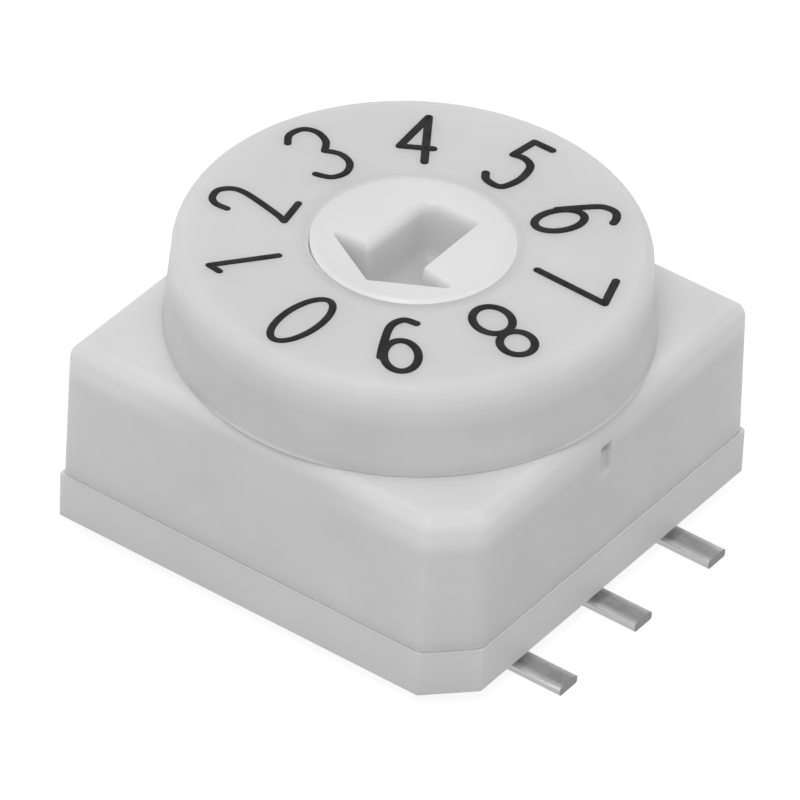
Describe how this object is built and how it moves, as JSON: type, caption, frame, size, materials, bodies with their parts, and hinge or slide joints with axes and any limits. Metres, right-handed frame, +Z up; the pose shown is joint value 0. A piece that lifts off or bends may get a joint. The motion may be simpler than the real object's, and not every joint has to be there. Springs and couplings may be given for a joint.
{
  "type": "rotary dip switch",
  "caption": "Square surface-mount rotary coded switch with a thumb wheel, an arrow-slotted boss, a cut corner and flat leads on two sides.",
  "frame": {"origin": "centre of the footprint, on the solder plane under the leads", "axes": "+X across the two rows of leads, +Z up along the axis the dial turns on, -Y the side the selected digit faces; the cut corner is at +X -Y"},
  "size_m": [0.012, 0.0098, 0.0068],
  "materials": {
    "base_plastic": "moulded satin thermoplastic, light warm grey",
    "cover_plastic": "moulded satin thermoplastic, light grey",
    "dial_plastic": "moulded satin thermoplastic, light grey, digits printed in dark grey",
    "rotor_plastic": "moulded satin thermoplastic, off-white",
    "lead_tin": "tin-plated copper strip, matt",
    "gold_plate": "gold-plated copper strip",
    "spring_steel": "stainless spring strip",
    "seal_rubber": "moulded O-ring, dull",
    "resin": "cured potting resin, glossy"
  },
  "bodies": {
    "housing": {"base": "base_plastic", "cover": "cover_plastic", "shaft_seal": "seal_rubber", "detent_spring": "spring_steel", "terminal_1": "lead_tin", "terminal_2": "lead_tin", "terminal_4": "lead_tin", "terminal_8": "lead_tin", "terminal_common": "lead_tin", "contact_1": "gold_plate", "contact_2": "gold_plate", "contact_4": "gold_plate", "contact_8": "gold_plate", "contact_common": "gold_plate", "resin_left": "resin", "resin_right": "resin"},
    "selector": {"rotor": "rotor_plastic", "dial": "dial_plastic", "code_disc": "gold_plate"}
  },
  "joints": [
    {"name": "selector_turn", "type": "hinge", "parent": "housing", "child": "selector", "pos_m": [0, 0, 0], "axis": [0, 0, 1], "continuous": true, "deforming": ["detent_spring"]}
  ]
}
